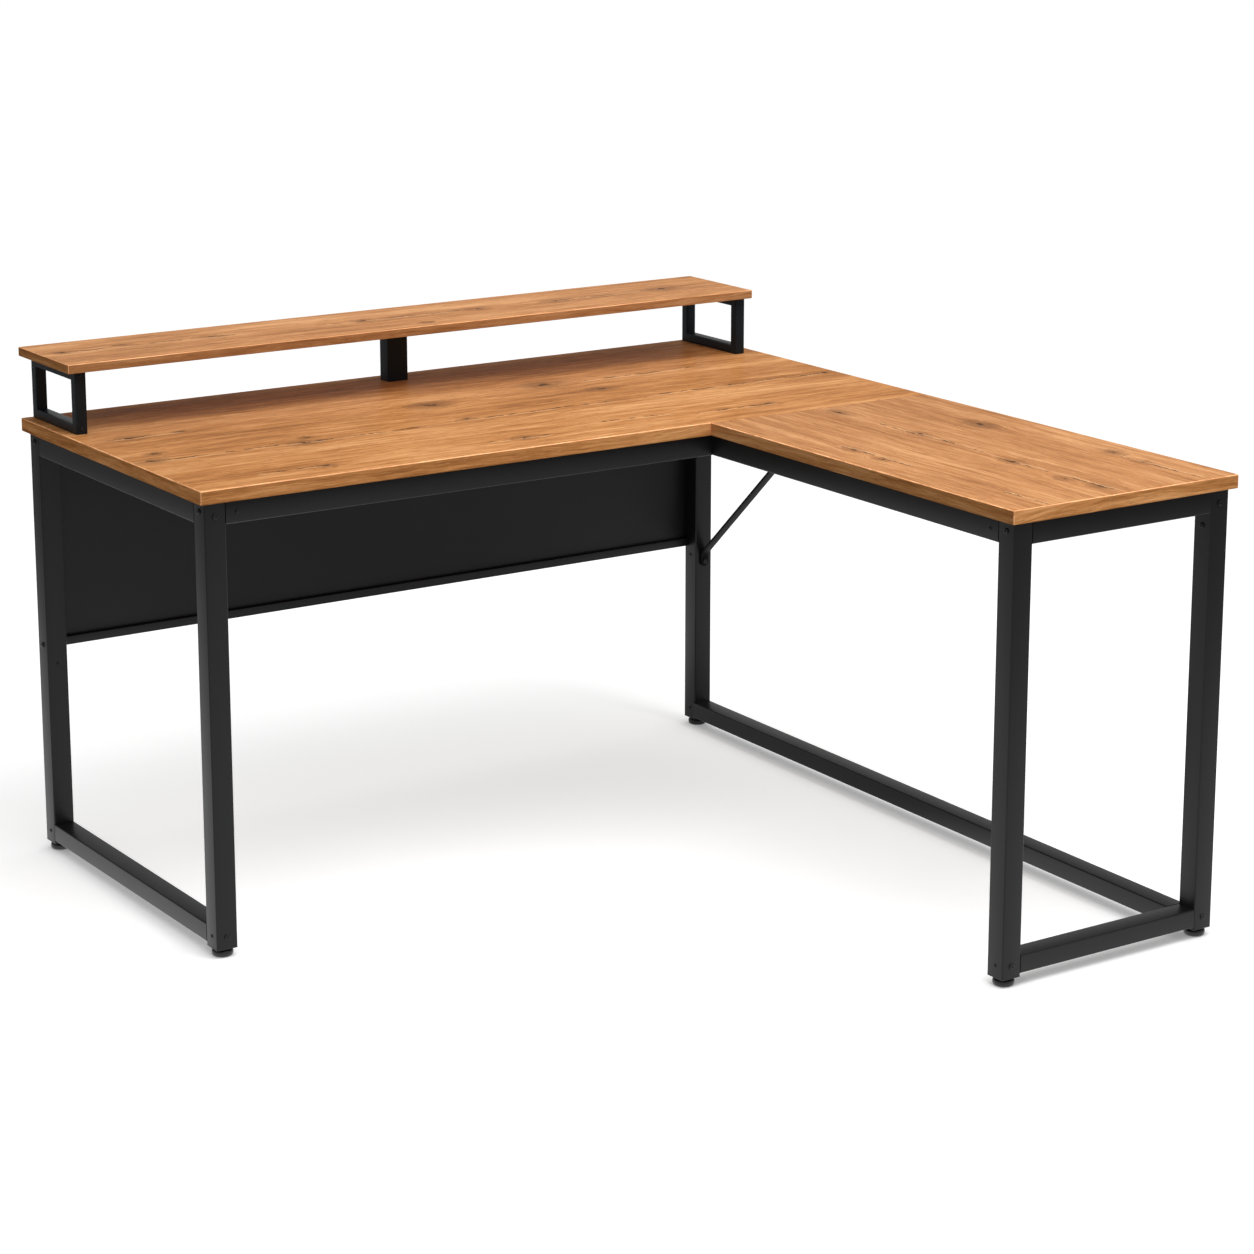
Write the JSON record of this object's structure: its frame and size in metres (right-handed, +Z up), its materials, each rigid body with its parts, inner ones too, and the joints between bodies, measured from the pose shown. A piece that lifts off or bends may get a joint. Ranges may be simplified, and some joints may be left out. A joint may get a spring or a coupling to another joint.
{
  "type": "corner desk",
  "caption": "L-shaped desk with wooden worktops on a black square-tube frame, a raised shelf at the rear, a modesty panel, a diagonal brace and screw-in levelling feet.",
  "frame": {"origin": "on the floor, at the centre of the desk's bounding box", "axes": "+X to the right along the main worktop, +Y to the rear edge where the shelf stands, +Z up"},
  "size_m": [1.384, 1.44, 0.87],
  "materials": {
    "oak": "satin honey-oak foil on board",
    "black_steel": "matt black powder coat",
    "black_panel": "matt black powder coat",
    "black_bolt": "black oxide",
    "black_plastic": "matt"
  },
  "bodies": {
    "desk": {"main_top": "oak", "return_top": "oak", "shelf_board": "oak", "leg_front_left": "black_steel", "leg_rear_left": "black_steel", "leg_rear_right": "black_steel", "leg_return_left": "black_steel", "leg_return_right": "black_steel", "top_rail_left": "black_steel", "top_rail_rear": "black_steel", "top_rail_right": "black_steel", "top_rail_front": "black_steel", "top_rail_return_inner": "black_steel", "top_rail_return_front": "black_steel", "floor_rail_left": "black_steel", "floor_rail_return": "black_steel", "floor_rail_right": "black_steel", "seam_angle": "black_steel", "modesty_rail": "black_steel", "shelf_loop_left": "black_steel", "shelf_loop_right": "black_steel", "shelf_post": "black_steel", "corner_brace": "black_steel", "modesty_panel": "black_panel", "bolt_rail_front": "black_bolt", "bolt_rail_left": "black_bolt", "bolt_rail_rear": "black_bolt", "bolt_rail_return_front": "black_bolt", "bolt_rail_return_inner": "black_bolt", "bolt_rail_right": "black_bolt", "bolt_rear_left_leg": "black_bolt", "bolt_return_right_leg": "black_bolt", "bolt_brace_lower": "black_bolt", "bolt_brace_upper": "black_bolt", "screw_rear_left_leg": "black_bolt", "screw_rear_right_leg": "black_bolt", "screw_rail_front": "black_bolt", "screw_rail_return_inner": "black_bolt", "loop_screw_upper": "black_bolt", "loop_screw_lower": "black_bolt", "plug_screw_front_left_front": "black_bolt", "plug_screw_front_left_side": "black_bolt", "plug_screw_rear_left_side": "black_bolt", "plug_screw_rear_right_side": "black_bolt", "plug_screw_return_left_front": "black_bolt", "plug_screw_return_left_side": "black_bolt", "plug_screw_return_right_front": "black_bolt", "leg_plug_front_left": "black_plastic", "leg_plug_rear_left": "black_plastic", "leg_plug_rear_right": "black_plastic", "leg_plug_return_left": "black_plastic", "leg_plug_return_right": "black_plastic"},
    "foot_front_left": {"foot_front_left": "black_plastic"},
    "foot_rear_left": {"foot_rear_left": "black_plastic"},
    "foot_rear_right": {"foot_rear_right": "black_plastic"},
    "foot_return_left": {"foot_return_left": "black_plastic"},
    "foot_return_right": {"foot_return_right": "black_plastic"}
  },
  "joints": [
    {"name": "screw_foot_front_left", "type": "slide", "parent": "desk", "child": "foot_front_left", "axis": [0, 0, -1], "range_m": [-0.0015, 0.012]},
    {"name": "screw_foot_rear_left", "type": "slide", "parent": "desk", "child": "foot_rear_left", "axis": [0, 0, -1], "range_m": [-0.0015, 0.012]},
    {"name": "screw_foot_rear_right", "type": "slide", "parent": "desk", "child": "foot_rear_right", "axis": [0, 0, -1], "range_m": [-0.0015, 0.012]},
    {"name": "screw_foot_return_left", "type": "slide", "parent": "desk", "child": "foot_return_left", "axis": [0, 0, -1], "range_m": [-0.0015, 0.012]},
    {"name": "screw_foot_return_right", "type": "slide", "parent": "desk", "child": "foot_return_right", "axis": [0, 0, -1], "range_m": [-0.0015, 0.012]}
  ]
}
